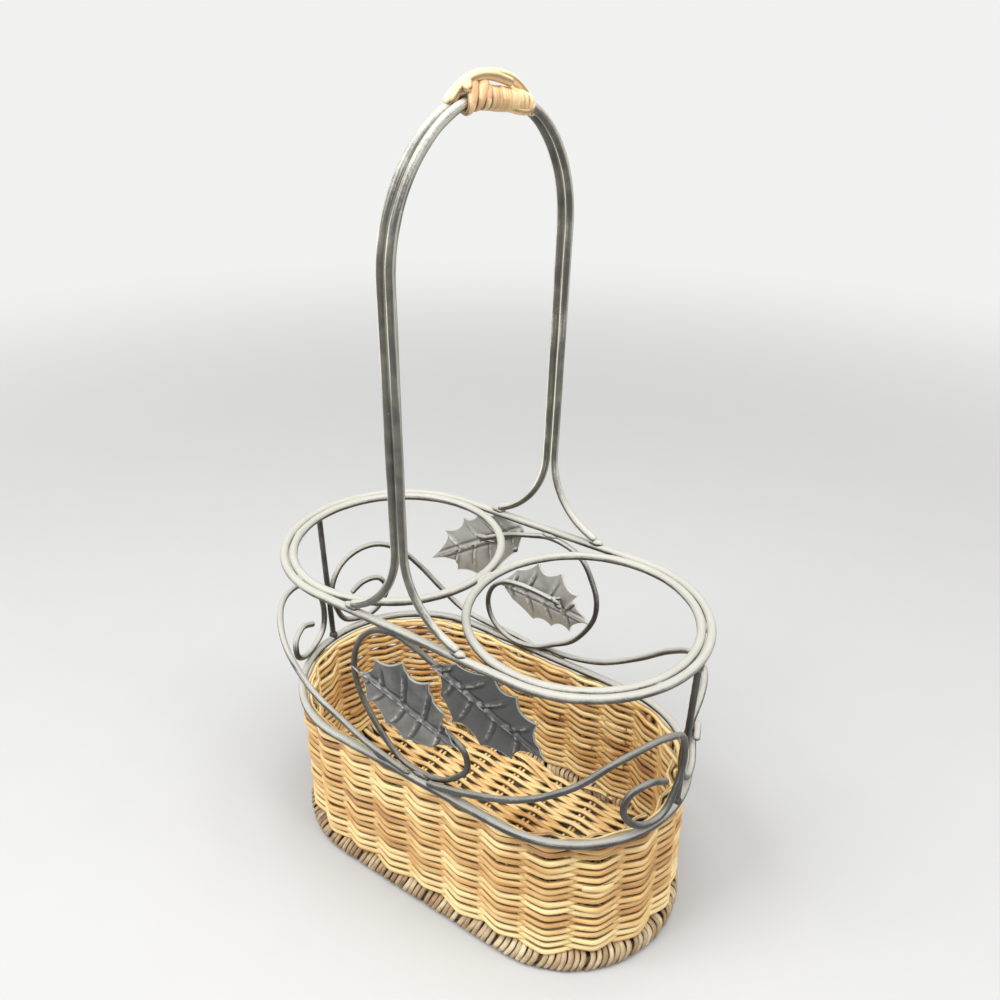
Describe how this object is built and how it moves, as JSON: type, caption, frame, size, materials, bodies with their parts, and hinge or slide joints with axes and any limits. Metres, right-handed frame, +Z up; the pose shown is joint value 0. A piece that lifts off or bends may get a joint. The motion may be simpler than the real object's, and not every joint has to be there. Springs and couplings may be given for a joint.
{
  "type": "wine bottle basket",
  "caption": "Oval woven basket for standing bottles, with a black wire frame of bottle rings, scrolls and holly leaves and a tall wire carrying arch bound with rattan.",
  "frame": {"origin": "middle of the footprint, on the surface the basket stands on", "axes": "+Z up, +X along the basket to the right end seen from the front, -Y towards the front"},
  "size_m": [0.2144, 0.1168, 0.3679],
  "materials": {
    "blackened_iron": "matt black steel wire with a pale dusty sheen",
    "charcoal_sheet_metal": "matt charcoal pressed sheet steel",
    "golden_wicker": "bare split willow, golden to orange brown",
    "weathered_reed": "bare reed, grey brown",
    "tan_rattan": "bare tan rattan, slightly glossy"
  },
  "bodies": {
    "root": {"upper_rail": "blackened_iron", "lower_rail": "blackened_iron", "bottle_ring_left": "blackened_iron", "bottle_ring_right": "blackened_iron", "end_post_left": "blackened_iron", "end_post_right": "blackened_iron", "handle_rod_left": "blackened_iron", "handle_rod_right": "blackened_iron", "scroll_front_right": "blackened_iron", "scroll_front_left": "blackened_iron", "scroll_back_left": "blackened_iron", "scroll_back_right": "blackened_iron", "leaf_wire_front": "blackened_iron", "leaf_wire_back": "blackened_iron", "holly_leaf_front_1": "charcoal_sheet_metal", "holly_leaf_front_2": "charcoal_sheet_metal", "holly_leaf_back_1": "charcoal_sheet_metal", "holly_leaf_back_2": "charcoal_sheet_metal", "wicker_wall": "golden_wicker", "wicker_floor": "golden_wicker", "rim_strand": "golden_wicker", "base_border": "weathered_reed", "grip_winding": "tan_rattan", "grip_over_strand": "tan_rattan", "grip_tail_strand": "tan_rattan"}
  },
  "joints": []
}
